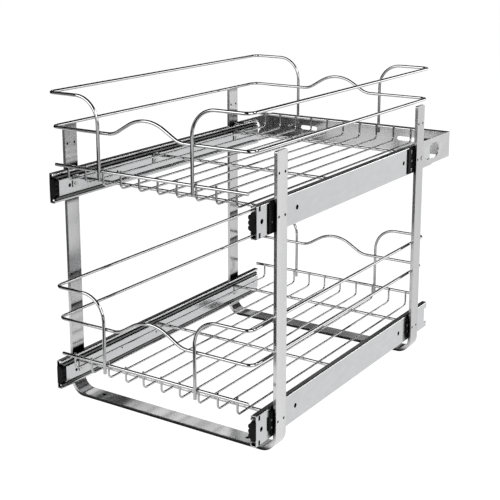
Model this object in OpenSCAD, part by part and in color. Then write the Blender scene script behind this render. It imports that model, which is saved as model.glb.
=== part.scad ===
// Two-tier pull-out cabinet basket: two chromed wire baskets on full-extension ball slides,
// carried by two U-shaped floor straps that screw to the cabinet floor.
// X runs across, Y runs back into the cabinet, Z runs up. The origin is on the cabinet floor,
// in the middle of the four floor screws.

/* [Frame] */
// Width across the outside of the posts
frame_w = 374.6; // [300:0.1:520]
// Distance from the front strap to the rear strap, like edge to like edge
frame_pitch = 433.5; // [380:0.5:445]
// Height of the posts
post_h = 426.5; // [420:0.5:470]
// Width of the strap
strap_w = 26; // [22:0.5:32]
// Thickness of the strap
strap_t = 5; // [3:0.1:5]
// Outside radius of the strap's bends
strap_bend_r = 25; // [12:0.5:28]
// Rounding of the strap's long edges at the top of each post
post_corner_r = 3; // [1:0.1:6]
// Diameter of the floor screw holes
floor_hole_d = 6.5; // [4:0.1:8]
// Distance from the outside of a post to the floor screw hole
floor_hole_inset = 54.8; // [40:0.1:70]
// Diameter of the holes in the posts
post_hole_d = 4; // [3:0.1:5]
// Distance between the two holes of a pair
post_hole_pitch = 15.4; // [12:0.1:16]
// Distance from a post's front edge to its first hole
post_hole_inset = 4.8; // [4:0.1:6]
// Height of the spare pair of holes above the upper pair
spare_hole_rise = 59; // [45:0.5:70]

/* [Levels] */
// Height of the lower slides' centre line
lower_level_z = 46.5; // [45:0.5:60]
// Distance between the two levels
level_pitch = 291; // [250:0.5:300]

/* [Slides] */
// Length of a closed slide
slide_len = 550; // [540:1:600]
// Height of the outer rail
slide_h = 45.5; // [44:0.1:50]
// Thickness of a whole slide
slide_t = 12.7; // [12.5:0.1:14]
// How far the slides stand in front of the front posts
slide_overhang = 38.5; // [30:0.5:45]
// Travel of a basket
travel = 540; // [400:1:545]
// Sheet thickness of the rails
rail_t = 1.2; // [0.9:0.05:1.3]
// Rounding of the rails' outside corners
rail_r = 2; // [1.5:0.1:2.4]
// Diameter of the slide balls
ball_d = 3.2; // [2.6:0.05:3.2]
// Gap between a ball and its races
ball_gap = 0.25; // [0.15:0.01:0.3]
// Number of balls in one row
balls_per_row = 8; // [4:1:9]
// Distance between two balls
ball_pitch = 24; // [16:0.5:24]
// Sheet thickness of the ball cages
cage_t = 0.6; // [0.4:0.05:0.7]
// Diameter of the round holes in the outer rails
rail_hole_d = 7; // [5:0.1:9]

/* [Wire] */
// Diameter of the rail, rim and cross wires
wire_d = 5; // [4:0.1:5.5]
// Diameter of the floor wires
floor_wire_d = 3.2; // [2.5:0.1:4]
// Depth to which two wires sink into each other at a weld
weld_sink = 0.3; // [0.1:0.05:0.4]

/* [Basket] */
// How far the top and mid rails' centres lie outside the slides' inner faces
rail_overhang = 4.9; // [0:0.1:6]
// How much less deep the basket is than its slides, between the rim wires' centres
basket_shortening = 11.5; // [5:0.5:50]
// How far the front rim wire's centre lies in front of the front posts
basket_overhang = 37.5; // [30:0.5:45]
// Height of the rim wires above the slides' centre line
rim_rise = 36.7; // [34:0.1:45]
// Height of the mid rail above the slides' centre line
mid_rise = 92; // [85:0.5:100]
// Height of the top rails above the slides' centre line
top_rise = 142.4; // [136:0.1:150]
// Depth of the floor wires below the rim wires
floor_drop = 22; // [19:0.5:23]
// Number of floor wires
floor_wires = 10; // [6:1:12]
// Distance from the slides' inner faces to the outermost floor wires' centres
floor_inset = 21.3; // [10:0.1:30]
// Bend radius of the floor wires, to the wire's centre
floor_bend_r = 7; // [4:0.5:9]
// Height of the floor wires' tips above the rim wires
tip_rise = 3.5; // [2.5:0.5:8]
// Distance from the slides' inner faces in to the rim wires' ends
rim_inset = 0.8; // [0:0.1:10]
// Distance between the two uprights of one end
upright_span = 162.4; // [150:0.1:190]
// Depth of the uprights' ends below the rim wires
upright_drop = 12; // [8:0.5:14]
// Bend radius between an upright and the top rail, to the wire's centre
upright_bend_r = 38; // [20:0.5:42]
// Corner radius of the top and mid rails, to the wire's centre
corner_r = 12; // [8:0.5:18]

/* [Handle] */
// Height of the handle wave in the mid rail
wave_rise = 24; // [16:0.5:30]
// Slope of the wave's sides, in degrees
wave_angle = 31; // [28:1:36]
// Radius of the wave's crown, to the wire's centre
crown_r = 60; // [40:1:62]
// Radius of the wave's feet, to the wire's centre
foot_r = 35; // [20:1:38]

/* [Rear bracket] */
// Distance from the slides' rear ends to the bracket's back face
bracket_reach = 68.5; // [60:0.5:90]
// Height of the bracket
bracket_h = 44; // [40:0.5:48]
// Height of the bracket's centre above the upper slides' centre line
bracket_rise = 3; // [0:0.5:4]
// Depth of the bracket's top flange
flange_depth = 15; // [8:0.5:20]
// Distance between the two slots for the back screws
back_slot_span = 200; // [120:1:230]
// Width of the back slots
back_slot_w = 8; // [5:0.1:9]
// Length of the back slots
back_slot_len = 35; // [20:0.5:50]
// Height of the openings in the bracket's side plates
window_h = 26; // [16:0.5:30]
// Length of the openings in the bracket's side plates
window_len = 56; // [40:0.5:66]

/* [Mounting] */
// Thickness of the plastic clips between slide and post
clip_t = 2; // [1.6:0.1:2.6]
// How far a front clip stands in front of its post
clip_reach = 11.5; // [10:0.5:20]
// Thickness of the tabs between cross wire and inner rail
tab_t = 1.5; // [1:0.1:1.5]
// Length of a tab along the slide
tab_len = 12; // [12:0.5:17]
// Height of a tab
tab_h = 18; // [18:0.5:22]
// Diameter of the tab screws' heads
screw_head_d = 6; // [5:0.1:8]
// Height of the tab screws' heads
screw_head_h = 1; // [1:0.1:2]
// Diameter of the tab screws' shanks
screw_d = 4; // [3:0.1:4.5]

/* [Hidden] */
$fn = 48;

CHROME = [0.82, 0.83, 0.85];
ZINC = [0.66, 0.67, 0.68];
BLACK = [0.08, 0.08, 0.09];

// Overrun of every cut past the face it starts from
cut = 1;
// Clearance round a pin or shank in its hole
pin_gap = 0.2;
// How far the balls at a wire's skew bends and butt welds stand out from it
bead = 0.1;

// Places along Y
front_y = -(frame_pitch + strap_w) / 2;
rear_y = front_y + frame_pitch;
slide_y = front_y - slide_overhang;
slide_end_y = slide_y + slide_len;
rim_y = front_y - basket_overhang;
basket_depth = slide_len - basket_shortening;
rear_rim_y = rim_y + basket_depth;

// Levels
upper_z = lower_level_z + level_pitch;
lower_z = lower_level_z;

// Planes across the width
post_in_x = frame_w / 2 - strap_t;
slide_x = post_in_x - clip_t;
inner_face_x = slide_x - slide_t;

// Slide sections, measured inward from the outer rail's back
cage_gap = 0.5;
outer_depth_share = 0.76;
middle_depth_share = 0.68;
lip_share = 0.7;
lip_h = ball_d * lip_share;
race_h = rail_t + ball_d + 2 * ball_gap;
outer_depth = slide_t * outer_depth_share;
middle_u = rail_t + cage_t + 2 * cage_gap;
middle_h = slide_h - 2 * race_h;
middle_depth = slide_t * middle_depth_share;
inner_h = middle_h - 2 * race_h;
inner_cage_u = middle_u + rail_t + cage_gap;
inner_u = inner_cage_u + cage_t + cage_gap;
inner_depth = slide_t - inner_u;
outer_ball_v = slide_h / 2 - rail_t - ball_gap - ball_d / 2;
inner_ball_v = middle_h / 2 - rail_t - ball_gap - ball_d / 2;
outer_ball_u = middle_u + rail_t + ball_d / 2;
inner_ball_u = inner_u + ball_gap + ball_d / 2;

// Ball cages: at full travel each one has moved forward by a quarter of it within its rails
cage_rim = 0.9;
cage_w = ball_d + 2 * cage_rim;
cage_end = 6;
cage_margin = 50;
pocket_d = ball_d + 2 * ball_gap;
cage_len = (balls_per_row - 1) * ball_pitch + 2 * cage_end;
cage_y = slide_y + travel / 4 + cage_margin;

// Ends of the middle and inner rails, behind and before those of the outer rail
middle_setback = 2.5;
inner_setback = 7;
tail_setback = 6;
middle_len = slide_len - middle_setback - tail_setback;
inner_len = slide_len - inner_setback - tail_setback;

// Details of the outer rails
rail_hole_shares = [0.0222, 0.185, 0.797];
lance_h = 7;
lance_w = 4.5;
lance_setback = 7;
lance_share = 0.395;
lance_v = slide_h * lance_share;
tail_notch_h = 25;
tail_notch_depth = 9;

// Holes in the inner rails' faces: their diameters and distances from the outer rail's front end
front_hole_d = 5.5;
front_hole_setback = 29.5;
second_hole_d = 4.5;
second_hole_setback = 139;
inner_holes = [[front_hole_d, front_hole_setback], [second_hole_d, second_hole_setback]];

// Black front pieces of the inner rails
bumper_margin = 0.5;
bumper_h = inner_h + 2 * bumper_margin;
bumper_len = 8.5;
bumper_face_t = 3;
bumper_u = rail_t + bumper_margin;
bumper_grips = 3;
grip_r = 4.2;
grip_inset = 2.2;
plug_len = 4;

// Clips
clip_h = slide_h - 2 * rail_r;
clip_rear_reach = 19;
clip_cover_share = 0.5;
clip_hub_h = 19.5;
clip_hub_reach = 10;
clip_leg_h = 34;
clip_leg_reach = 5.5;

// How much less far the lower clips stand in front of the rear posts
clip_rear_trim = 3;

// Hook of an upper rear clip round the front edge of its post
clip_hook_t = 1.2;
clip_hook_reach = 2.4;

// Windows of the upper rear clips
clip_window_w = 2.4;
clip_window_h = 6.5;
clip_window_v = 15;
pin_len_share = 0.7;

// Rivets through the clips: their places along Y, and their heights from the slides' centre line
rivet_head_d = 3.2;
rivet_head_h = 0.7;
rivet_d = 2.4;
rivet_spread = 5.5;
rivet_drop = 5.5;
window_reach = 8.4;
front_rivet_y = front_y - (clip_leg_reach + rivet_head_d) / 2;
window_y = rear_y - window_reach;
upper_rivets = [[front_rivet_y, -rivet_drop], [window_y, 0]];
lower_rivets = [for (y = [front_rivet_y, front_rivet_y + frame_pitch], rise = [-rivet_spread, rivet_spread])
    [y, rise]];

// Bracket
bracket_t = 1.5;
bracket_y = slide_end_y + bracket_reach;
bracket_z = upper_z + bracket_rise;
bracket_lap_share = 0.5;
bracket_front_y = rear_y + strap_w * bracket_lap_share;
window_setback = 46;

// Tabs bent inward from the tops of the side plates, over the ends of the upper slides. Their
// middle lies at this share of the side plates' length, counted from the front
hold_tab_len = 36;
hold_tab_reach = 11;
hold_tab_place_share = 0.26592;
hold_tab_drop = 0.5;
hold_tab_y = bracket_front_y + (bracket_y - bracket_front_y) * hold_tab_place_share;

// Wires
wire_r = wire_d / 2;
floor_wire_r = floor_wire_d / 2;
basket_half_w = inner_face_x + rail_overhang;
rim_half_w = inner_face_x - rim_inset;
floor_pitch = 2 * (inner_face_x - floor_inset) / (floor_wires - 1);
floor_rise = rim_rise - floor_drop;
tip_in = wire_r + floor_wire_r - weld_sink;
upright_out = wire_d - weld_sink;
wave_run = (wave_rise - (crown_r + foot_r) * (1 - cos(wave_angle))) / sin(wave_angle);
wave_half = (crown_r + foot_r) * sin(wave_angle) + wave_run * cos(wave_angle);

// Cross wires: their distances behind the front rim wire, as shares of the basket's depth
cross_shares = [0.075, 0.432, 0.868];

// Tabs and their screws, from the slides' centre line
tab_lift = 1;
tab_rise = inner_h / 2 + tab_lift - tab_h;
tab_face_x = inner_face_x - tab_t;
screw_edge = 5;
screw_rise = tab_rise + screw_edge;
cross_rise = floor_rise - wire_r - floor_wire_r + weld_sink;
cross_half_w = tab_face_x + weld_sink;

// Moves its children to the right side for side 1 and mirrors them to the left for side -1
module at_side(side) {
    if (side > 0) children();
    else mirror([1, 0, 0]) children();
}

// Sweeps a section drawn in the XZ plane along Y, from y by len
module along_y(y, len) {
    translate([0, y + len, 0]) rotate([90, 0, 0]) linear_extrude(len) children();
}

// Places slide sections: X of the section is measured inward from the outer rail's back
module in_slide(side, level_z) {
    at_side(side) translate([slide_x, 0, level_z]) mirror([1, 0, 0]) children();
}

// Flat rectangle with round corners
module round_rect(w, h, r) {
    translate([0, r]) square([w, h - 2 * r]);
    translate([r, 0]) square([w - 2 * r, h]);
    for (x = [r, w - r], y = [r, h - r]) translate([x, y]) circle(r);
}

// C section with its back on X = 0 and its mouth towards +X
module c_section(depth, h) {
    difference() {
        translate([0, -h / 2]) round_rect(depth, h, rail_r);
        translate([rail_t, rail_t - h / 2])
            round_rect(depth - 2 * rail_t, h - 2 * rail_t, rail_r - rail_t);
        translate([depth - rail_t - cut, lip_h + rail_t - h / 2])
            square([rail_t + 2 * cut, h - 2 * (rail_t + lip_h)]);
    }
}

// A cylinder along X, from x by len
module rod_x(x, y, z, len, d) {
    translate([x, y, z]) rotate([0, 90, 0]) cylinder(h = len, d = d);
}

// A wire that follows steps of [straight length, roll, bend radius, bend angle], starting up +Z.
// The roll turns the wire about itself before the bend, and the bend goes towards its own +X.
// A ball a hair thicker than the wire closes each end of a bend that isn't a right angle.
module wire(d, steps, i = 0) {
    if (i < len(steps)) {
        run = steps[i][0];
        roll = steps[i][1];
        r = steps[i][2];
        a = steps[i][3];
        skew = a % 90 > 0;
        if (run > 0) cylinder(h = run, d = d);
        translate([0, 0, run]) rotate([0, 0, roll]) {
            if (a > 0)
                translate([r, 0, 0]) rotate([90, 0, 180])
                    rotate_extrude(angle = a) translate([r, 0]) circle(d = d);
            if (skew) sphere(d = d + 2 * bead);
            translate([r * (1 - cos(a)), 0, r * sin(a)]) rotate([0, a, 0]) {
                if (skew) sphere(d = d + 2 * bead);
                wire(d, steps, i + 1);
            }
        }
    }
}

// A wire's last stretch, which is straight
function last_run(length) = [length, 0, 0, 0];

// One U-shaped strap: two posts, two bends and the floor strap
module strap_frame(y) {
    half = frame_w / 2;
    difference() {
        union() {
            translate([strap_bend_r - half, y, 0])
                cube([frame_w - 2 * strap_bend_r, strap_w, strap_t]);
            for (side = [-1, 1]) at_side(side) {
                translate([half - strap_t, y, strap_bend_r]) post();
                translate([half - strap_bend_r, y + strap_w, strap_bend_r]) strap_bend();
            }
        }
        for (side = [-1, 1])
            translate([side * (half - floor_hole_inset), y + strap_w / 2, -cut])
                cylinder(h = strap_t + 2 * cut, d = floor_hole_d);
        for (side = [-1, 1], z = [lower_z, upper_z, upper_z + spare_hole_rise], pair = [0, 1])
            at_side(side)
                rod_x(half - strap_t - cut, y + post_hole_inset + pair * post_hole_pitch, z,
                      strap_t + 2 * cut, post_hole_d);
    }
}

// A post with rounded top corners
module post() {
    h = post_h - strap_bend_r;
    r = post_corner_r;
    cube([strap_t, strap_w, h - r]);
    translate([0, r, 0]) cube([strap_t, strap_w - 2 * r, h]);
    for (y = [r, strap_w - r]) rod_x(0, y, h - r, strap_t, 2 * r);
}

// A quarter bend of the strap, from the floor strap up to the right post
module strap_bend() {
    rotate([90, 0, 0]) rotate([0, 0, -90])
        rotate_extrude(angle = 90) translate([strap_bend_r - strap_t, 0]) square([strap_t, strap_w]);
}

module front_frame() color(CHROME) strap_frame(front_y);

module rear_frame() color(CHROME) strap_frame(rear_y);

// Sheet bracket behind the rear posts: a back web, a top flange and two side plates with tabs
module rear_bracket() color(ZINC) {
    half = post_in_x;
    low = bracket_z - bracket_h / 2;
    difference() {
        union() {
            translate([-half, bracket_y - bracket_t, low]) cube([2 * half, bracket_t, bracket_h]);
            translate([-half, bracket_y - flange_depth, low + bracket_h - bracket_t])
                cube([2 * half, flange_depth, bracket_t]);
            for (side = [-1, 1]) at_side(side) {
                translate([half - bracket_t, bracket_front_y, low])
                    cube([bracket_t, bracket_y - bracket_front_y, bracket_h]);
                translate([half - hold_tab_reach, hold_tab_y - hold_tab_len / 2,
                           low + bracket_h - bracket_t - hold_tab_drop])
                    cube([hold_tab_reach, hold_tab_len, bracket_t]);
            }
        }
        for (side = [-1, 1]) at_side(side) {
            rod_x(half - bracket_t - cut, rear_hole_y(1), upper_z, bracket_t + 2 * cut, post_hole_d);
            bracket_window();
        }
        for (side = [-1, 1]) translate([side * back_slot_span / 2, bracket_y - bracket_t, bracket_z])
            back_slot();
    }
}

// Y of the rear posts' holes: 0 is the front one of a pair and 1 the rear one
function rear_hole_y(pair) = rear_y + post_hole_inset + pair * post_hole_pitch;

// Long opening with round ends in a side plate
module bracket_window() {
    r = window_h / 2;
    rear = bracket_y - window_setback;
    x = post_in_x - bracket_t - cut;
    for (y = [rear - window_len + r, rear - r]) rod_x(x, y, bracket_z, bracket_t + 2 * cut, window_h);
    translate([x, rear - window_len + r, bracket_z - r])
        cube([bracket_t + 2 * cut, window_len - window_h, window_h]);
}

// Slot with round ends through the web, for a screw into the cabinet's back
module back_slot() {
    run = back_slot_len - back_slot_w;
    depth = bracket_t + 2 * cut;
    for (x = [-run / 2, run / 2])
        translate([x, -cut, 0]) rotate([-90, 0, 0]) cylinder(h = depth, d = back_slot_w);
    translate([-run / 2, -cut, -back_slot_w / 2]) cube([run, depth, back_slot_w]);
}

// Rivets that hold the bracket to the rear posts, their heads outside
module bracket_rivets() color(CHROME) {
    for (side = [-1, 1]) at_side(side) {
        rod_x(post_in_x - bracket_t, rear_hole_y(1), upper_z, strap_t + bracket_t,
              post_hole_d - 2 * pin_gap);
        rod_x(frame_w / 2, rear_hole_y(1), upper_z, rivet_head_h, post_hole_d + 2 * rivet_head_h);
    }
}

// A clip's plate between X of the slide's back and the post
module clip_plate(y, len, z, h) {
    translate([slide_x, y, z - h / 2]) cube([clip_t, len, h]);
}

// Cut through a clip
module clip_cut(y, len, z, h) {
    translate([slide_x - cut, y, z - h / 2]) cube([clip_t + 2 * cut, len, h]);
}

// Pins of a clip in the holes of its post
module clip_pins(y, z, pairs) {
    for (pair = pairs)
        rod_x(post_in_x, y + post_hole_inset + pair * post_hole_pitch, z,
              strap_t * pin_len_share, post_hole_d - 2 * pin_gap);
}

// Holes for the clips' rivets, through clip and outer rail
module rivet_holes(z, rivets) {
    for (rivet = rivets)
        rod_x(slide_x - rail_t - cut, rivet[0], z + rivet[1], clip_t + rail_t + 2 * cut,
              rivet_d + 2 * pin_gap);
}

module upper_front_clips() color(BLACK)
    for (side = [-1, 1]) at_side(side) {
        difference() {
            clip_plate(front_y - clip_reach, clip_reach + strap_w - pin_gap, upper_z, clip_h);
            rivet_holes(upper_z, upper_rivets);
        }
        clip_pins(front_y, upper_z, [0, 1]);
    }

module upper_rear_clips() color(BLACK)
    for (side = [-1, 1]) at_side(side) {
        len = clip_rear_reach + strap_w * clip_cover_share - pin_gap;
        difference() {
            clip_plate(rear_y - clip_rear_reach, len, upper_z, clip_h);
            rivet_holes(upper_z, upper_rivets);
            for (rise = [-clip_window_v, clip_window_v])
                clip_cut(window_y - clip_window_w / 2, clip_window_w, upper_z + rise, clip_window_h);
        }
        clip_pins(rear_y, upper_z, [0]);
        translate([post_in_x, rear_y - pin_gap - clip_hook_t, upper_z - clip_h / 2])
            cube([clip_hook_reach, clip_hook_t, clip_h]);
    }

module lower_clips() color(BLACK)
    for (side = [-1, 1], end = [0, 1]) at_side(side) {
        y = front_y + end * frame_pitch;
        leg = clip_leg_reach - end * clip_rear_trim;
        hub = clip_hub_reach - end * clip_rear_trim;
        difference() {
            union() {
                clip_plate(y - leg, leg + strap_w - pin_gap, lower_z, clip_leg_h);
                clip_plate(y - hub, hub, lower_z, clip_hub_h);
            }
            rivet_holes(lower_z, lower_rivets);
        }
        clip_pins(y, lower_z, [0, 1]);
    }

// Rivets of one level through clips and outer rails, their heads on the clips
module level_rivets(z, rivets) {
    for (side = [-1, 1], rivet = rivets) at_side(side) {
        rod_x(slide_x - rail_t, rivet[0], z + rivet[1], clip_t + rail_t, rivet_d);
        rod_x(slide_x + clip_t, rivet[0], z + rivet[1], rivet_head_h, rivet_head_d);
    }
}

module clip_rivets() color(CHROME) {
    level_rivets(upper_z, upper_rivets);
    level_rivets(lower_z, lower_rivets);
}

// Fixed rail of a slide, with its screw holes, lanced notches and tail notch
module outer_rail(side, z, rivets) {
    difference() {
        in_slide(side, z) difference() {
            along_y(slide_y, slide_len) c_section(outer_depth, slide_h);
            for (share = rail_hole_shares)
                rod_x(-cut, slide_y + slide_len * share, 0, rail_t + 2 * cut, rail_hole_d);
            for (v = [-lance_v, lance_v])
                translate([-cut, slide_y + lance_setback - lance_w / 2, v - lance_h / 2])
                    cube([rail_t + 2 * cut, lance_w, lance_h]);
            translate([-cut, slide_end_y - tail_notch_depth, -tail_notch_h / 2])
                cube([rail_t + 2 * cut, tail_notch_depth + cut, tail_notch_h]);
        }
        at_side(side) rivet_holes(z, rivets);
    }
}

// Middle rail, which rides in the outer rail
module middle_rail(side, z)
    in_slide(side, z) translate([middle_u, 0, 0])
        along_y(slide_y + middle_setback, middle_len) c_section(middle_depth, middle_h);

// Inner rail, which rides in the middle rail and carries the basket
module inner_rail(side, z)
    difference() {
        in_slide(side, z) difference() {
            along_y(slide_y + inner_setback, inner_len) inner_section();
            for (hole = inner_holes)
                rod_x(slide_t - rail_t - cut, slide_y + hole[1], 0, rail_t + 2 * cut, hole[0]);
        }
        at_side(side) for (share = cross_shares) tab_shank_hole(share, z, rail_t);
    }

// Section of the inner rail: a C with its back inward and its mouth towards the middle rail
module inner_section()
    translate([slide_t, 0]) mirror([1, 0]) difference() {
        translate([0, -inner_h / 2]) round_rect(inner_depth + 2 * rail_r, inner_h, rail_r);
        translate([rail_t, rail_t - inner_h / 2])
            round_rect(inner_depth + 2 * rail_r, inner_h - 2 * rail_t, rail_r - rail_t);
        translate([inner_depth, -inner_h / 2 - cut]) square([2 * rail_r + cut, inner_h + 2 * cut]);
    }

// Ball cage: a folded strip with two rows of ball pockets
module cage(side, z, u, ball_u, ball_v)
    in_slide(side, z) difference() {
        union() {
            translate([u, cage_y, -ball_v - cage_t / 2]) cube([cage_t, cage_len, 2 * ball_v + cage_t]);
            for (v = [-ball_v, ball_v])
                translate([u, cage_y, v - cage_t / 2])
                    cube([ball_u + cage_w / 2 - u, cage_len, cage_t]);
        }
        for (v = [-ball_v, ball_v], i = [0 : balls_per_row - 1])
            translate([ball_u, ball_y(i), v - cage_t / 2 - cut]) cylinder(h = cage_t + 2 * cut, d = pocket_d);
    }

function ball_y(i) = cage_y + cage_end + i * ball_pitch;

// Both slides' balls of one kind at one level
module balls(z, ball_u, ball_v)
    for (side = [-1, 1]) in_slide(side, z)
        for (v = [-ball_v, ball_v], i = [0 : balls_per_row - 1])
            translate([ball_u, ball_y(i), v]) sphere(d = ball_d);

module outer_cage(side, z) cage(side, z, rail_t + cage_gap, outer_ball_u, outer_ball_v);

module inner_cage(side, z) cage(side, z, inner_cage_u, inner_ball_u, inner_ball_v);

// Black front pieces of both inner rails: a face plate, a block with grips and a plug inside the rail
module bumpers(z)
    for (side = [-1, 1]) in_slide(side, z) {
        y = slide_y + inner_setback - bumper_len;
        u = inner_u + rail_t;
        plug_h = inner_h - 2 * rail_t - 2 * pin_gap;
        translate([bumper_u, y, -bumper_h / 2])
            cube([slide_t - grip_r - bumper_u, bumper_face_t, bumper_h]);
        along_y(y, bumper_len) grip_section();
        translate([u, y + bumper_len - cut, -plug_h / 2])
            cube([inner_depth - 2 * rail_t - pin_gap, plug_len + cut, plug_h]);
    }

// Section of the block: a rectangle with a row of overlapping round grips on its inward side
module grip_section() {
    grip_h = bumper_h - 2 * grip_inset;
    translate([inner_u, -grip_h / 2]) square([inner_depth - grip_r, grip_h]);
    for (i = [0 : bumper_grips - 1])
        translate([slide_t - grip_r, (grip_h - 2 * grip_r) * (i / (bumper_grips - 1) - 1 / 2)])
            circle(grip_r);
}

// Floor wires: each one is a long U whose tips stand behind the rim wires
module floor_wire_set(z) {
    up = floor_drop + tip_rise - floor_bend_r;
    depth = basket_depth - 2 * tip_in - 2 * floor_bend_r;
    for (i = [0 : floor_wires - 1])
        translate([(i - (floor_wires - 1) / 2) * floor_pitch, rim_y + tip_in, z + rim_rise + tip_rise])
            rotate([180, 0, 0])
                wire(floor_wire_d, [[up, -90, floor_bend_r, 90], [depth, 0, floor_bend_r, 90], last_run(up)]);
}

module rim(y, z) rod_x(-rim_half_w, y, z + rim_rise, 2 * rim_half_w, wire_d);

function cross_y(share) = rim_y + basket_depth * share;

module cross_wire(z, share)
    rod_x(-cross_half_w, cross_y(share), z + cross_rise, 2 * cross_half_w, wire_d);

// Right top rail: up the front upright, out, back along the side, in and down the rear upright
module top_rail(side, z) {
    up = top_rise - rim_rise + upright_drop - upright_bend_r;
    out = basket_half_w - upright_span / 2 - upright_bend_r - corner_r;
    back = basket_depth + 2 * upright_out - 2 * corner_r;
    at_side(side) translate([upright_span / 2, rim_y - upright_out, z + rim_rise - upright_drop])
        wire(wire_d, [[up, 0, upright_bend_r, 90], [out, 90, corner_r, 90], [back, 0, corner_r, 90],
                      [out, -90, upright_bend_r, 90], last_run(up)]);
}

// Mid rail: one loop with a handle wave in front and behind, closed by a butt weld in the right side
module mid_rail(z) {
    out = basket_half_w - wave_half - corner_r;
    back = basket_depth - 2 * corner_r;
    across = [[out, -90, foot_r, wave_angle], [wave_run, 180, crown_r, 2 * wave_angle],
              [wave_run, 180, foot_r, wave_angle], [out, 90, corner_r, 90]];
    translate([basket_half_w, rim_y + basket_depth / 2, z + mid_rise]) rotate([90, 0, 0]) {
        sphere(d = wire_d + 2 * bead);
        wire(wire_d, concat([[back / 2, 180, corner_r, 90]], across, [[back, 0, corner_r, 90]], across,
                            [last_run(back / 2)]));
    }
}

// Hole for a tab screw, through a sheet that lies outside the tab
module tab_shank_hole(share, z, sheet)
    rod_x(tab_face_x - cut, cross_y(share), z + screw_rise, tab_t + sheet + 2 * cut,
          screw_d + 2 * pin_gap);

// Steel tabs that join the cross wires to the inner rails
module tabs(z)
    for (side = [-1, 1], share = cross_shares) at_side(side)
        difference() {
            translate([tab_face_x, cross_y(share) - tab_len / 2, z + tab_rise]) cube([tab_t, tab_len, tab_h]);
            tab_shank_hole(share, z, 0);
        }

// Screws through the tabs into the inner rails
module tab_screws(z)
    for (side = [-1, 1], share = cross_shares) at_side(side) {
        y = cross_y(share);
        rod_x(tab_face_x - screw_head_h, y, z + screw_rise, screw_head_h, screw_head_d);
        rod_x(tab_face_x, y, z + screw_rise, tab_t + rail_t, screw_d);
    }

module upper_left_outer_rail() color(ZINC) outer_rail(-1, upper_z, upper_rivets);
module upper_right_outer_rail() color(ZINC) outer_rail(1, upper_z, upper_rivets);
module upper_left_middle_rail() color(ZINC) middle_rail(-1, upper_z);
module upper_right_middle_rail() color(ZINC) middle_rail(1, upper_z);
module upper_left_inner_rail() color(ZINC) inner_rail(-1, upper_z);
module upper_right_inner_rail() color(ZINC) inner_rail(1, upper_z);
module upper_left_outer_cage() color(ZINC) outer_cage(-1, upper_z);
module upper_right_outer_cage() color(ZINC) outer_cage(1, upper_z);
module upper_left_inner_cage() color(ZINC) inner_cage(-1, upper_z);
module upper_right_inner_cage() color(ZINC) inner_cage(1, upper_z);
module upper_outer_balls() color(CHROME) balls(upper_z, outer_ball_u, outer_ball_v);
module upper_inner_balls() color(CHROME) balls(upper_z, inner_ball_u, inner_ball_v);
module upper_bumpers() color(BLACK) bumpers(upper_z);
module upper_floor_wires() color(CHROME) floor_wire_set(upper_z);
module upper_front_rim() color(CHROME) rim(rim_y, upper_z);
module upper_rear_rim() color(CHROME) rim(rear_rim_y, upper_z);
module upper_front_cross_wire() color(CHROME) cross_wire(upper_z, cross_shares[0]);
module upper_middle_cross_wire() color(CHROME) cross_wire(upper_z, cross_shares[1]);
module upper_rear_cross_wire() color(CHROME) cross_wire(upper_z, cross_shares[2]);
module upper_left_top_rail() color(CHROME) top_rail(-1, upper_z);
module upper_right_top_rail() color(CHROME) top_rail(1, upper_z);
module upper_mid_rail() color(CHROME) mid_rail(upper_z);
module upper_tabs() color(ZINC) tabs(upper_z);
module upper_tab_screws() color(ZINC) tab_screws(upper_z);

module lower_left_outer_rail() color(ZINC) outer_rail(-1, lower_z, lower_rivets);
module lower_right_outer_rail() color(ZINC) outer_rail(1, lower_z, lower_rivets);
module lower_left_middle_rail() color(ZINC) middle_rail(-1, lower_z);
module lower_right_middle_rail() color(ZINC) middle_rail(1, lower_z);
module lower_left_inner_rail() color(ZINC) inner_rail(-1, lower_z);
module lower_right_inner_rail() color(ZINC) inner_rail(1, lower_z);
module lower_left_outer_cage() color(ZINC) outer_cage(-1, lower_z);
module lower_right_outer_cage() color(ZINC) outer_cage(1, lower_z);
module lower_left_inner_cage() color(ZINC) inner_cage(-1, lower_z);
module lower_right_inner_cage() color(ZINC) inner_cage(1, lower_z);
module lower_outer_balls() color(CHROME) balls(lower_z, outer_ball_u, outer_ball_v);
module lower_inner_balls() color(CHROME) balls(lower_z, inner_ball_u, inner_ball_v);
module lower_bumpers() color(BLACK) bumpers(lower_z);
module lower_floor_wires() color(CHROME) floor_wire_set(lower_z);
module lower_front_rim() color(CHROME) rim(rim_y, lower_z);
module lower_rear_rim() color(CHROME) rim(rear_rim_y, lower_z);
module lower_front_cross_wire() color(CHROME) cross_wire(lower_z, cross_shares[0]);
module lower_middle_cross_wire() color(CHROME) cross_wire(lower_z, cross_shares[1]);
module lower_rear_cross_wire() color(CHROME) cross_wire(lower_z, cross_shares[2]);
module lower_left_top_rail() color(CHROME) top_rail(-1, lower_z);
module lower_right_top_rail() color(CHROME) top_rail(1, lower_z);
module lower_mid_rail() color(CHROME) mid_rail(lower_z);
module lower_tabs() color(ZINC) tabs(lower_z);
module lower_tab_screws() color(ZINC) tab_screws(lower_z);

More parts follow.
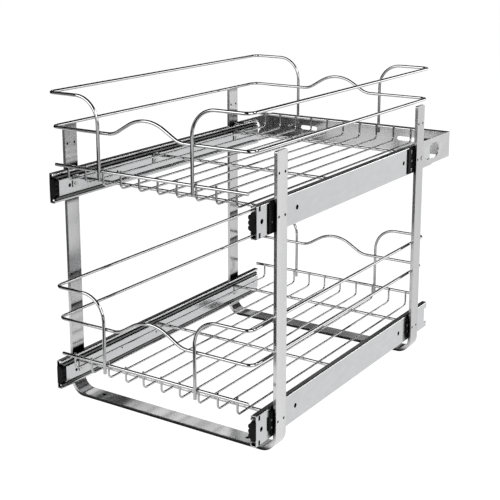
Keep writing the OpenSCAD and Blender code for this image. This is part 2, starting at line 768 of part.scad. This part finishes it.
front_frame();
rear_frame();
rear_bracket();
bracket_rivets();
upper_front_clips();
upper_rear_clips();
lower_clips();
clip_rivets();
upper_left_outer_rail();
upper_right_outer_rail();
upper_left_middle_rail();
upper_right_middle_rail();
upper_left_inner_rail();
upper_right_inner_rail();
upper_left_outer_cage();
upper_right_outer_cage();
upper_left_inner_cage();
upper_right_inner_cage();
upper_outer_balls();
upper_inner_balls();
upper_bumpers();
upper_floor_wires();
upper_front_rim();
upper_rear_rim();
upper_front_cross_wire();
upper_middle_cross_wire();
upper_rear_cross_wire();
upper_left_top_rail();
upper_right_top_rail();
upper_mid_rail();
upper_tabs();
upper_tab_screws();
lower_left_outer_rail();
lower_right_outer_rail();
lower_left_middle_rail();
lower_right_middle_rail();
lower_left_inner_rail();
lower_right_inner_rail();
lower_left_outer_cage();
lower_right_outer_cage();
lower_left_inner_cage();
lower_right_inner_cage();
lower_outer_balls();
lower_inner_balls();
lower_bumpers();
lower_floor_wires();
lower_front_rim();
lower_rear_rim();
lower_front_cross_wire();
lower_middle_cross_wire();
lower_rear_cross_wire();
lower_left_top_rail();
lower_right_top_rail();
lower_mid_rail();
lower_tabs();
lower_tab_screws();
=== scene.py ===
"""Dresses the two-tier pull-out basket: camera, finishes, weld beads, clip tongues and studio."""

import math

import bmesh
import bpy
from mathutils import Matrix, Vector, noise


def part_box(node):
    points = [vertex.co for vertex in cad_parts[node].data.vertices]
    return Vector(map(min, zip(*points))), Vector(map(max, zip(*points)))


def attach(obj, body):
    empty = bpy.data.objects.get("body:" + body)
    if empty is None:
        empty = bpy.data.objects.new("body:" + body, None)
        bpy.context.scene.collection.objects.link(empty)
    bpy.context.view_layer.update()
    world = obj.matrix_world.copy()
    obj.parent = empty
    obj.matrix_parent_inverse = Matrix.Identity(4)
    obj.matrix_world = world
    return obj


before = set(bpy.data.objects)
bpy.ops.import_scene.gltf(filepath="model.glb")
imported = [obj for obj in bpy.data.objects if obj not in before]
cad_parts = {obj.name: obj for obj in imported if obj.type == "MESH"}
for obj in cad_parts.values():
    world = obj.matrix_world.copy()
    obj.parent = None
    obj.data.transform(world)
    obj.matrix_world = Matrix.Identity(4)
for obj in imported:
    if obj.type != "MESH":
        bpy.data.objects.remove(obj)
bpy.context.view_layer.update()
scene = bpy.context.scene
scene.view_settings.view_transform = "Standard"


# Camera, fitted to the posts, rails and slides in the photograph
IMAGE_PX = 500
FOCAL_PX = 1090.3
PRINCIPAL_Y_PX = 170
YAW = math.radians(33.13)
PITCH = math.radians(12.53)
CAMERA_PLACE = (0.9133, -1.4074, 0.7092)
SENSOR_MM = 36
NEAR_CLIP = 0.05

cam_data = bpy.data.cameras.new("camera")
cam_data.sensor_width = SENSOR_MM
cam_data.lens = FOCAL_PX / IMAGE_PX * SENSOR_MM
cam_data.shift_y = (PRINCIPAL_Y_PX - IMAGE_PX / 2) / IMAGE_PX
cam_data.clip_start = NEAR_CLIP
cam = bpy.data.objects.new("camera", cam_data)
cam.location = CAMERA_PLACE
cam.rotation_euler = (math.pi / 2 - PITCH, 0, YAW)
scene.collection.objects.link(cam)
scene.camera = cam


# Shader helpers
def grey(level):
    return (level, level, level, 1)


class Graph:
    """A short way to write a node tree."""

    def __init__(self, tree):
        self.tree = tree
        tree.nodes.clear()

    def node(self, kind, inputs=None, **settings):
        made = self.tree.nodes.new(kind)
        for key, value in settings.items():
            setattr(made, key, value)
        for key, value in (inputs or {}).items():
            self.put(made.inputs[key], value)
        return made

    def put(self, socket, value):
        if isinstance(value, bpy.types.NodeSocket):
            self.tree.links.new(value, socket)
        else:
            socket.default_value = value

    def maths(self, operation, a, b):
        return self.node("ShaderNodeMath", {0: a, 1: b}, operation=operation).outputs[0]

    def blend(self, factor, first, second, **settings):
        """Goes from the first colour to the second as the factor goes from 0 to 1."""
        return self.node("ShaderNodeMix", {"Factor": factor, 6: first, 7: second},
                         data_type="RGBA", **settings).outputs[2]

    def ramp(self, value, stops):
        made = self.node("ShaderNodeValToRGB", {"Fac": value})
        ramp = made.color_ramp
        while len(ramp.elements) < len(stops):
            ramp.elements.new(0.5)
        for element, (place, colour) in zip(ramp.elements, stops):
            element.position = place
            element.color = (*colour, 1)
        return made.outputs["Color"]

    def noise(self, vector, scale, detail, rough=0.5):
        return self.node("ShaderNodeTexNoise", {"Vector": vector, "Scale": scale, "Detail": detail,
                                                "Roughness": rough}).outputs["Fac"]

    def rise(self, value, start, end, low=0.0, high=1.0):
        """Goes from low to high as the value goes from start to end."""
        return self.node("ShaderNodeMapRange", {"Value": value, "From Min": start, "From Max": end,
                                                "To Min": low, "To Max": high}).outputs["Result"]

    def end(self, surface, kind="ShaderNodeOutputMaterial"):
        self.node(kind, {"Surface": surface.outputs[0]})


def new_material(name):
    mat = bpy.data.materials.new(name)
    mat.use_nodes = True
    return mat, Graph(mat.node_tree)


# Noise is mostly between these two levels, so tones and polish are spread over them
NOISE_LOW = 0.3
NOISE_HIGH = 0.7
CLOUD_DETAIL = 3.0
GRAIN_DETAIL = 2.0
GRAIN_ROUGH = 0.6
CLOUD_SHARE = 0.7
GRAIN_SHARE = 0.3
BAND_STRETCH = (1, 0.15, 0)
BAND_DETAIL = 1.0
DARK_TOP_STARTS = 0.6
DARK_TOP_FULL = 0.9
RECESS_SHADE_SAMPLES = 8
BEVEL_SAMPLES = 6


def coat(g, tone, pattern, polish, grain, bump, soft_edge=0.0):
    """Ends a node tree with a shader over a fine relief; polish is the range of the roughness."""
    strength, depth = bump
    relief = g.node("ShaderNodeBump", {"Strength": strength, "Distance": depth, "Height": grain})
    if soft_edge:
        rounded = g.node("ShaderNodeBevel", {"Radius": soft_edge}, samples=BEVEL_SAMPLES)
        g.put(relief.inputs["Normal"], rounded.outputs["Normal"])
    roughness = g.rise(pattern, NOISE_LOW, NOISE_HIGH, *polish)
    shader = g.node("ShaderNodeBsdfPrincipled", {"Base Color": tone, "Roughness": roughness,
                                                 "Normal": relief.outputs["Normal"]})
    g.end(shader)
    return shader


def metal(name, stretch, tones, polish, bump, cloud_scale, grain_scale, metallic=1.0,
          recess_shade_and_grime=None, soft_edge=0.0, bands=None, painted_dark_top=None):
    """Metal with a mottled tone, a varying polish and a fine grain stretched along one axis.

    recess_shade_and_grime is the reach and tone of the painted shade in recesses, which on the
    slides also stands for grease, and the openness at which it is full and at which it ends.
    soft_edge is the radius of the broken edges. bands are broad stripes across X: their scale, and
    the range by which they change the tone. painted_dark_top is the tone of the painted shade on
    faces that look up."""
    mat, g = new_material(name)
    coords = g.node("ShaderNodeTexCoord").outputs["Object"]
    along = g.node("ShaderNodeMapping", {"Vector": coords, "Scale": stretch}).outputs["Vector"]
    cloud = g.noise(along, cloud_scale, CLOUD_DETAIL)
    grain = g.noise(along, grain_scale, GRAIN_DETAIL, GRAIN_ROUGH)
    pattern = g.maths("ADD", g.maths("MULTIPLY", cloud, CLOUD_SHARE),
                      g.maths("MULTIPLY", grain, GRAIN_SHARE))
    tone = g.ramp(pattern, list(zip((NOISE_LOW, NOISE_HIGH), tones)))
    if bands:
        scale, darkest, lightest = bands
        across = g.node("ShaderNodeMapping", {"Vector": coords, "Scale": BAND_STRETCH})
        stripes = g.noise(across.outputs["Vector"], scale, BAND_DETAIL)
        shade = g.rise(stripes, NOISE_LOW, NOISE_HIGH, darkest, lightest)
        tone = g.blend(1.0, tone, shade, blend_type="MULTIPLY")
    # Painted shade: faces that look up are darkened towards a set tone
    if painted_dark_top is not None:
        facing = g.node("ShaderNodeNewGeometry").outputs["True Normal"]
        up = g.node("ShaderNodeSeparateXYZ", {0: facing}).outputs["Z"]
        tone = g.blend(g.rise(up, DARK_TOP_STARTS, DARK_TOP_FULL), tone, grey(painted_dark_top))
    # Painted shade: recesses are darkened towards a set tone by their ambient occlusion; on the
    # slides it also stands for grease
    if recess_shade_and_grime:
        reach, grime_shade_tone, full, none = recess_shade_and_grime
        openness = g.node("ShaderNodeAmbientOcclusion", {"Distance": reach}, samples=RECESS_SHADE_SAMPLES)
        clean_and_lit = g.rise(openness.outputs["AO"], full, none)
        tone = g.blend(clean_and_lit, grey(grime_shade_tone), tone)
    shader = coat(g, tone, pattern, polish, grain, bump, soft_edge)
    shader.inputs["Metallic"].default_value = metallic
    return mat


def plastic(name, tones, polish, bump, cloud_scale, grain_scale, shine):
    """Moulded plastic with a faint mottle and a fine grain; shine is its specular level."""
    mat, g = new_material(name)
    coords = g.node("ShaderNodeTexCoord").outputs["Object"]
    cloud = g.noise(coords, cloud_scale, CLOUD_DETAIL)
    grain = g.noise(coords, grain_scale, GRAIN_DETAIL, GRAIN_ROUGH)
    tone = g.ramp(cloud, list(zip((NOISE_LOW, NOISE_HIGH), tones)))
    shader = coat(g, tone, cloud, polish, grain, bump)
    shader.inputs["Specular IOR Level"].default_value = shine
    return mat


# Finishes by the record's slots; slide_grease_and_shade: the slides' zinc, dark with grease and
# painted shade
METALS = {
    "wire_chrome": dict(
        stretch=(1, 1, 1), tones=((0.38, 0.38, 0.385), (0.44, 0.44, 0.445)), polish=(0.03, 0.07),
        bump=(0.05, 0.0002), cloud_scale=40.0, grain_scale=500.0),
    "strap_chrome": dict(
        stretch=(0.15, 1, 0.15), tones=((0.46, 0.46, 0.465), (0.51, 0.51, 0.515)),
        polish=(0.10, 0.18), bump=(0.03, 0.0002), cloud_scale=34.0, grain_scale=420.0,
        metallic=0.9, recess_shade_and_grime=(0.012, 0.002, 0.74, 0.96), soft_edge=0.0008, bands=(14.0, 0.75, 1.30)),
    "slide_zinc": dict(
        stretch=(1, 0.35, 1), tones=((0.49, 0.495, 0.50), (0.54, 0.545, 0.55)),
        polish=(0.12, 0.22), bump=(0.10, 0.0003), cloud_scale=110.0, grain_scale=900.0,
        recess_shade_and_grime=(0.010, 0.006, 0.32, 0.78), soft_edge=0.0004, painted_dark_top=0.015),
    "slide_grease_and_shade": dict(
        stretch=(1, 0.35, 1), tones=((0.08, 0.08, 0.08), (0.15, 0.15, 0.15)), polish=(0.22, 0.40),
        bump=(0.10, 0.0003), cloud_scale=110.0, grain_scale=900.0,
        recess_shade_and_grime=(0.006, 0.004, 0.30, 0.75), painted_dark_top=0.01),
    "bracket_zinc": dict(
        stretch=(0.4, 1, 1), tones=((0.45, 0.45, 0.455), (0.53, 0.53, 0.535)), polish=(0.05, 0.12),
        bump=(0.08, 0.0003), cloud_scale=50.0, grain_scale=800.0,
        metallic=0.9, recess_shade_and_grime=(0.006, 0.01, 0.30, 0.70), soft_edge=0.0004),
    "cage_steel": dict(
        stretch=(1, 0.4, 1), tones=((0.05, 0.05, 0.05), (0.09, 0.09, 0.09)), polish=(0.30, 0.42),
        bump=(0.08, 0.0002), cloud_scale=120.0, grain_scale=900.0),
    "ball_steel": dict(
        stretch=(1, 1, 1), tones=((0.72, 0.72, 0.73), (0.82, 0.82, 0.82)), polish=(0.04, 0.09),
        bump=(0.02, 0.0001), cloud_scale=300.0, grain_scale=2000.0),
    "rivet_steel": dict(
        stretch=(1, 1, 1), tones=((0.42, 0.42, 0.425), (0.56, 0.56, 0.565)), polish=(0.22, 0.36),
        bump=(0.10, 0.0002), cloud_scale=300.0, grain_scale=1500.0),
}
FINISH = {name: metal(name, **look) for name, look in METALS.items()}
FINISH["clip_plastic"] = plastic(
    "clip_plastic", tones=((0.003, 0.003, 0.003), (0.009, 0.009, 0.009)), polish=(0.34, 0.48),
    bump=(0.25, 0.0002), cloud_scale=90.0, grain_scale=2600.0, shine=0.06)

for name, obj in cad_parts.items():
    for place, material in enumerate(obj.data.materials):
        slot = material.name.split(".")[0]
        # the middle rails take the zinc painted dark for the shade and grease in their races
        finish = "slide_grease_and_shade" if name.endswith("middle_rail") else slot
        obj.material_slots[place].material = FINISH[finish]


# Pieces made here
def placed(name, mesh, material):
    """Puts a bmesh into the scene as an object with one material."""
    data = bpy.data.meshes.new(name)
    mesh.to_mesh(data)
    mesh.free()
    data.materials.append(material)
    obj = bpy.data.objects.new(name, data)
    scene.collection.objects.link(obj)
    return obj


def piece(name, mesh, body, slot):
    """A smooth piece of the object, which rides on a body and has a slot's finish."""
    for face in mesh.faces:
        face.smooth = True
    obj = placed(name, mesh, FINISH[slot])
    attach(obj, body)
    return obj


# Weld beads, where the floor wires cross the cross wires and the rims
FLOOR_WIRE_R = 0.0016
FLOOR_WIRES = 10
CROSS_BEAD = (0.0021, 0.0021, 0.0008)
RIM_BEAD = (0.0021, 0.0022, 0.0008)
FLAT = Matrix.Identity(3)
ON_EDGE = Matrix.Rotation(math.pi / 2, 3, "X")
BEAD_SUBDIVISIONS = 2
BEAD_UNEVENNESS = 0.14
BEAD_LUMPS = 1.7
BEAD_SEED_SCALE = 900
BEAD_CROWN = 0.18


def bead(target, centre, size, lean):
    """Adds one flattened, slightly uneven bead of weld metal to a mesh."""
    made = bmesh.ops.create_icosphere(target, subdivisions=BEAD_SUBDIVISIONS, radius=1.0)
    for vert in made["verts"]:
        lump = noise.noise(vert.co * BEAD_LUMPS + centre * BEAD_SEED_SCALE)
        rough = 1 + BEAD_UNEVENNESS * lump
        slim = 1 + BEAD_CROWN * abs(vert.co.z)
        shaped = Vector((vert.co.x * size[0] * rough / slim, vert.co.y * size[1] * rough / slim,
                         vert.co.z * size[2] * rough))
        vert.co = lean @ shaped + centre


for level in ("upper", "lower"):
    floor_lo, floor_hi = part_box(level + "_floor_wires")
    pitch = (floor_hi.x - floor_lo.x - 2 * FLOOR_WIRE_R) / (FLOOR_WIRES - 1)
    wire_xs = [floor_lo.x + FLOOR_WIRE_R + pitch * i for i in range(FLOOR_WIRES)]
    welds = bmesh.new()
    for node in ("front_cross_wire", "middle_cross_wire", "rear_cross_wire"):
        lo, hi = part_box(level + "_" + node)
        for x in wire_xs:
            bead(welds, Vector((x, (lo.y + hi.y) / 2, hi.z)), CROSS_BEAD, FLAT)
    for node, inner in (("front_rim", 1), ("rear_rim", 0)):
        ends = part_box(level + "_" + node)
        for x in wire_xs:
            middle = (ends[0].z + ends[1].z) / 2
            bead(welds, Vector((x, ends[inner].y, middle)), RIM_BEAD, ON_EDGE)
    piece(level + "_weld_beads", welds, level + "_basket", "wire_chrome")


# Steel tongues in the windows of the upper rear clips
TONGUE_HALF_WIDTH = 0.0011
TONGUE_HALF_HEIGHT = 0.0031
TONGUE_CROWN = 0.0008
TONGUE_SINK = 0.00024
TONGUE_THICKNESS = 0.0006
TONGUE_GRID = (8, 16)
TONGUE_FALL = (4, 6)
TONGUE_RISE = 0.015
TONGUE_REACH = 0.0084
TONGUE_PROUD = 0.0020


def tongue(target, centre, side):
    """Adds a flat-topped sheet with rounded edges to a mesh, its broad face turned along X."""
    columns, rows = TONGUE_GRID
    made = bmesh.ops.create_grid(target, x_segments=columns, y_segments=rows, size=1.0)
    for vert in made["verts"]:
        fall = (1 - abs(vert.co.x) ** TONGUE_FALL[0]) * (1 - abs(vert.co.y) ** TONGUE_FALL[1])
        vert.co = centre + Vector((side * (TONGUE_CROWN * fall - TONGUE_SINK),
                                   vert.co.x * TONGUE_HALF_WIDTH, vert.co.y * TONGUE_HALF_HEIGHT))


rail_lo, rail_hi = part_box("upper_right_outer_rail")
tongue_x = rail_hi.x + TONGUE_PROUD
tongue_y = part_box("rear_frame")[0].y - TONGUE_REACH
level_z = (rail_lo.z + rail_hi.z) / 2
sheets = bmesh.new()
for side in (-1, 1):
    for rise in (-TONGUE_RISE, TONGUE_RISE):
        tongue(sheets, Vector((side * tongue_x, tongue_y, level_z + rise)), side)
bmesh.ops.recalc_face_normals(sheets, faces=list(sheets.faces))
tongues = piece("clip_tongues", sheets, "frame", "rivet_steel")
thick = tongues.modifiers.new("thick", "SOLIDIFY")
thick.thickness = TONGUE_THICKNESS
thick.offset = -1


# Studio floor: matt, and nearly white to the camera and in reflections
FLOOR_RADIUS = 14
FLOOR_SEGMENTS = 64
FLOOR_TONE = 0.86
FLOOR_GLOW = 1.25
GLOW_SHARE = 0.8

pale, g = new_material("floor_pale")
path = g.node("ShaderNodeLightPath").outputs
mirrored = g.maths("MAXIMUM", path["Is Glossy Ray"], path["Is Transmission Ray"])
seen = g.maths("MAXIMUM", path["Is Camera Ray"], mirrored)
matt = g.node("ShaderNodeBsdfDiffuse", {"Color": grey(FLOOR_TONE)})
glow = g.node("ShaderNodeEmission", {"Color": grey(1), "Strength": FLOOR_GLOW})
g.end(g.node("ShaderNodeMixShader", {0: g.maths("MULTIPLY", seen, GLOW_SHARE),
                                     1: matt.outputs[0], 2: glow.outputs[0]}))
disc = bmesh.new()
bmesh.ops.create_circle(disc, cap_ends=True, segments=FLOOR_SEGMENTS, radius=FLOOR_RADIUS)
placed("floor", disc, pale)


# World: white behind the object, and a dark room above a bright horizon in reflections
SKY = ((0.0, (1.0, 1.0, 1.0)), (0.03, (0.8, 0.8, 0.8)), (0.10, (0.02, 0.02, 0.02)),
       (1.0, (0.02, 0.02, 0.02)))

world = bpy.data.worlds.new("studio")
scene.world = world
world.use_nodes = True
g = Graph(world.node_tree)
direction = g.node("ShaderNodeTexCoord").outputs["Generated"]
height = g.node("ShaderNodeSeparateXYZ", {0: direction}).outputs["Z"]
room = g.node("ShaderNodeBackground", {"Color": g.ramp(height, SKY), "Strength": 1.0})
white = g.node("ShaderNodeBackground", {"Color": grey(1), "Strength": 1.0})
camera_ray = g.node("ShaderNodeLightPath").outputs["Is Camera Ray"]
g.end(g.node("ShaderNodeMixShader", {0: camera_ray, 1: room.outputs[0], 2: white.outputs[0]}),
      "ShaderNodeOutputWorld")


# Lights: name, place, width, height and power in watts
AIM = Vector((0, 0.02, 0.22))
SOFTBOXES = (
    ("front_left_box", (-0.9, -2.9, 1.5), 2.6, 2.0, 65),
    ("front_right_box", (2.9, -1.4, 1.6), 2.6, 2.0, 70),
    ("rear_box", (2.5, 1.6, 2.3), 1.4, 1.0, 30),
    ("strip_box", (2.1, 3.0, 0.60), 1.7, 0.8, 17),
    ("grey_card", (-1.95, 3.0, 1.75), 2.6, 0.6, 5.5),
)

for name, place, wide, tall, watts in SOFTBOXES:
    data = bpy.data.lights.new(name, "AREA")
    data.shape = "RECTANGLE"
    data.size = wide
    data.size_y = tall
    data.energy = watts
    lamp = bpy.data.objects.new(name, data)
    lamp.location = place
    lamp.rotation_euler = (AIM - Vector(place)).to_track_quat("-Z", "Y").to_euler()
    lamp.visible_camera = False
    scene.collection.objects.link(lamp)


# Black cards, which show only in the polished metal's reflections: name, corner and two sides
CARD_TONE = 0.01
CARDS = (
    ("left_flag", (-1.1, -0.9, 0), (0, 1.3, 0), (0, 0, 0.9)),
    ("floor_flag_far", (-2.2, -2.3, 0.002), (2.6, 0, 0), (0, 0.8, 0)),
    ("floor_flag_left", (-2.0, -1.5, 0.002), (0.76, 0, 0), (0.84, 0.9, 0)),
    ("floor_flag_near", (-0.59, -1.5, 0.002), (0.70, 0, 0), (0.33, 1.0, 0)),
    ("camera_flag_floor", (0.065, -0.615, 0.003), (0.47, 0.305, 0), (1.117, -1.722, 0)),
    ("camera_flag_back", (0.913, -2.511, 0), (1.008, 0.654, 0), (0, 0, 1.2)),
    ("right_flag", (1.3, -0.1, 0), (0, 1.2, 0), (0, 0, 0.9)),
)

black, g = new_material("card_black")
g.end(g.node("ShaderNodeBsdfDiffuse", {"Color": grey(CARD_TONE)}))
for name, *sides in CARDS:
    corner, along, across = (Vector(side) for side in sides)
    mesh = bmesh.new()
    mesh.faces.new([mesh.verts.new(corner + step)
                    for step in (Vector((0, 0, 0)), along, along + across, across)])
    card = placed(name, mesh, black)
    card.visible_camera = False
    card.visible_shadow = False
    card.visible_diffuse = False
